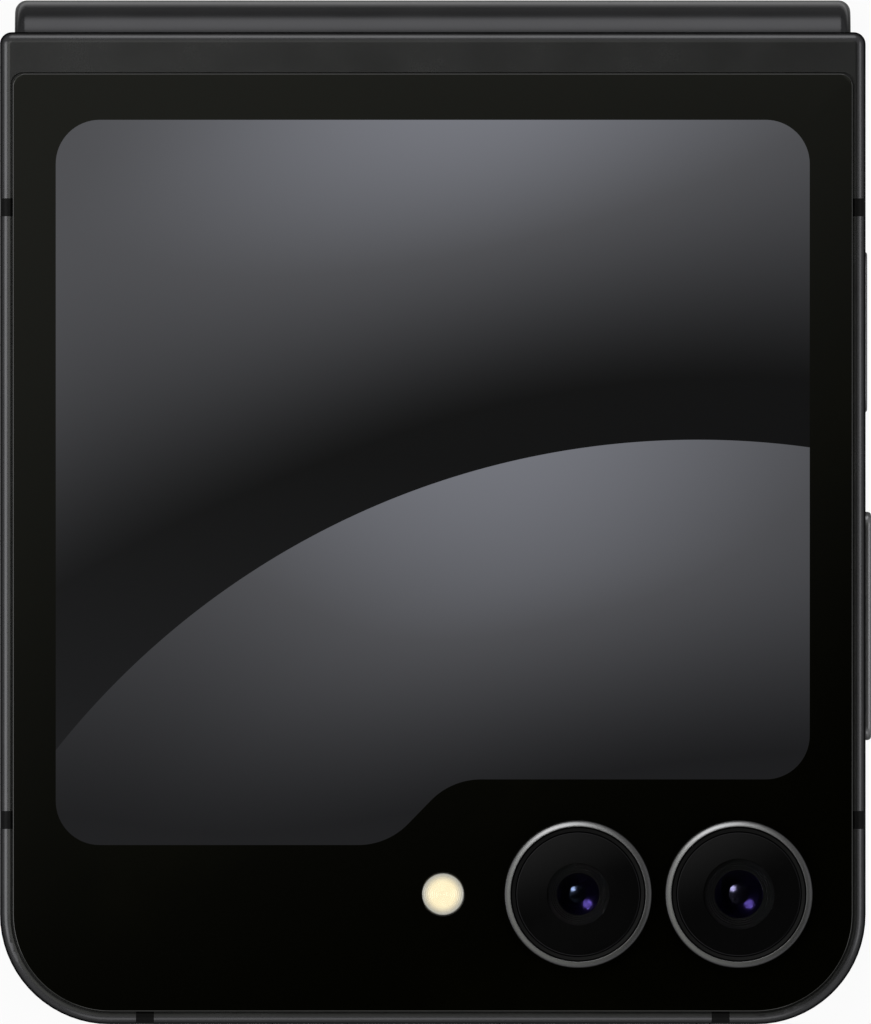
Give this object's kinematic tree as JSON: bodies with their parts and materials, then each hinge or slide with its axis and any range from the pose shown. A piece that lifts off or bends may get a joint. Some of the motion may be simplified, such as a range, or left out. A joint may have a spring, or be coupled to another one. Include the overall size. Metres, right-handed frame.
{
  "type": "flip phone",
  "caption": "Clamshell phone with a folding inner display, a cover display on the lid, two rear cameras, side keys and a hinge of coupled geared arms.",
  "frame": {"origin": "on the flat outer face of the back glass, under the middle of the folded phone's length and width", "axes": "+X to the keys' side, +Y towards the hinge, +Z out of the cover glass, with the phone shut and lying on its back glass"},
  "size_m": [0.0724, 0.0852, 0.0159],
  "materials": {
    "frame_metal": "satin anodised",
    "spine_metal": "polished anodised",
    "break_polymer": "matte",
    "outer_glass": "gloss",
    "copper_coil": "wound",
    "cell_foil": "wrapped pouch",
    "circuit_board": "solder mask",
    "stamped_steel": "stamped",
    "hinge_steel": "machined",
    "screw_steel": "blackened",
    "module_plastic": "moulded",
    "motor_can": "drawn",
    "folding_display": "gloss film",
    "cover_panel": "lit panel",
    "bezel_polymer": "fine matte",
    "bumper_rubber": "soft",
    "magnet_nickel": "nickel plated",
    "ring_metal": "turned",
    "lens_glass": "coated",
    "flash_lens": "frosted",
    "flash_diode": "phosphor",
    "key_metal": "satin anodised",
    "switch_flex": "flexible circuit",
    "card_plastic": "matte"
  },
  "bodies": {
    "lower_half": {"lower_frame": "frame_metal", "lower_antenna_breaks": "break_polymer", "back_glass": "outer_glass", "wireless_coil": "copper_coil", "lower_battery": "cell_foil", "charge_board": "circuit_board", "usb_receptacle": "stamped_steel", "loudspeaker": "module_plastic", "vibration_motor": "motor_can", "lower_display_plate": "stamped_steel", "lower_display": "folding_display", "lower_bezel": "bezel_polymer", "lower_bumpers": "bumper_rubber", "lower_magnets": "magnet_nickel", "lower_wing_right": "hinge_steel", "lower_wing_left": "hinge_steel", "lower_wing_screws": "screw_steel"},
    "hinge_spine": {"spine_cover": "spine_metal", "hinge_housing_right": "hinge_steel", "hinge_housing_left": "hinge_steel", "housing_screws": "screw_steel", "friction_discs": "hinge_steel", "display_fold": "folding_display", "hinge_flex_cable": "switch_flex"},
    "upper_half": {"upper_frame": "frame_metal", "upper_antenna_breaks": "break_polymer", "cover_glass": "outer_glass", "cover_display": "cover_panel", "camera_rings": "ring_metal", "camera_glasses": "lens_glass", "camera_modules": "module_plastic", "flash_lens": "flash_lens", "flash_led": "flash_diode", "upper_battery": "cell_foil", "main_board": "circuit_board", "board_shields": "stamped_steel", "earpiece": "module_plastic", "selfie_camera": "module_plastic", "upper_display_plate": "stamped_steel", "upper_display": "folding_display", "upper_bezel": "bezel_polymer", "upper_bumpers": "bumper_rubber", "upper_wing_right": "hinge_steel", "upper_wing_left": "hinge_steel", "upper_wing_screws": "screw_steel", "volume_switches": "switch_flex", "side_key_switch": "switch_flex", "sim_reader": "stamped_steel"},
    "gear_right_lower": {"sync_gear_right_lower": "hinge_steel"},
    "gear_right_upper": {"sync_gear_right_upper": "hinge_steel"},
    "gear_left_lower": {"sync_gear_left_lower": "hinge_steel"},
    "gear_left_upper": {"sync_gear_left_upper": "hinge_steel"},
    "plate_lower": {"support_plate_lower": "stamped_steel"},
    "plate_upper": {"support_plate_upper": "stamped_steel"},
    "volume_rocker": {"volume_key": "key_metal"},
    "power_key": {"side_key": "key_metal"},
    "sim_drawer": {"sim_tray": "key_metal", "sim_card": "card_plastic"}
  },
  "joints": [
    {"name": "lower_fold", "type": "hinge", "parent": "lower_half", "child": "hinge_spine", "pos_m": [0, 0.03805, 0.0056], "axis": [-1, 0, 0], "range_deg": [0, 90], "deforming": ["display_fold", "hinge_flex_cable"]},
    {"name": "upper_fold", "type": "hinge", "parent": "hinge_spine", "child": "upper_half", "pos_m": [0, 0.03805, 0.0093], "axis": [-1, 0, 0], "range_deg": [0, 90], "deforming": ["display_fold", "hinge_flex_cable"]},
    {"name": "gear_right_lower_turn", "type": "hinge", "parent": "hinge_spine", "child": "gear_right_lower", "pos_m": [0.0258, 0.04072, 0.00645], "axis": [-1, 0, 0], "range_deg": [0, 162]},
    {"name": "gear_right_upper_turn", "type": "hinge", "parent": "hinge_spine", "child": "gear_right_upper", "pos_m": [0.0258, 0.04072, 0.00845], "axis": [-1, 0, 0], "range_deg": [-162, 0]},
    {"name": "gear_left_lower_turn", "type": "hinge", "parent": "hinge_spine", "child": "gear_left_lower", "pos_m": [-0.0258, 0.04072, 0.00645], "axis": [-1, 0, 0], "range_deg": [0, 162]},
    {"name": "gear_left_upper_turn", "type": "hinge", "parent": "hinge_spine", "child": "gear_left_upper", "pos_m": [-0.0258, 0.04072, 0.00845], "axis": [-1, 0, 0], "range_deg": [-162, 0]},
    {"name": "plate_lower_tilt", "type": "hinge", "parent": "lower_half", "child": "plate_lower", "pos_m": [0, 0.03107, 0.0062], "axis": [1, 0, 0], "range_deg": [0, 6]},
    {"name": "plate_upper_tilt", "type": "hinge", "parent": "upper_half", "child": "plate_upper", "pos_m": [0, 0.03107, 0.0087], "axis": [-1, 0, 0], "range_deg": [0, 6]},
    {"name": "volume_rock", "type": "hinge", "parent": "upper_half", "child": "volume_rocker", "pos_m": [0.0331, -0.00947, 0.01145], "axis": [0, 0, 1], "range_deg": [-1, 1], "stiffness_Nm_per_rad": 0.3},
    {"name": "power_press", "type": "slide", "parent": "upper_half", "child": "power_key", "axis": [-1, 0, 0], "range_m": [0, 0.00025], "stiffness_N_per_m": 3000},
    {"name": "tray_slide", "type": "slide", "parent": "upper_half", "child": "sim_drawer", "axis": [-1, 0, 0], "range_m": [0, 0.015]}
  ],
  "couplings": [
    {"joint": "upper_fold", "follows": "lower_fold", "ratio": 1},
    {"joint": "gear_right_lower_turn", "follows": "lower_fold", "ratio": 1.8},
    {"joint": "gear_right_upper_turn", "follows": "lower_fold", "ratio": -1.8},
    {"joint": "gear_left_lower_turn", "follows": "lower_fold", "ratio": 1.8},
    {"joint": "gear_left_upper_turn", "follows": "lower_fold", "ratio": -1.8},
    {"joint": "plate_lower_tilt", "follows": "lower_fold", "ratio": 0.066667},
    {"joint": "plate_upper_tilt", "follows": "lower_fold", "ratio": 0.066667}
  ]
}
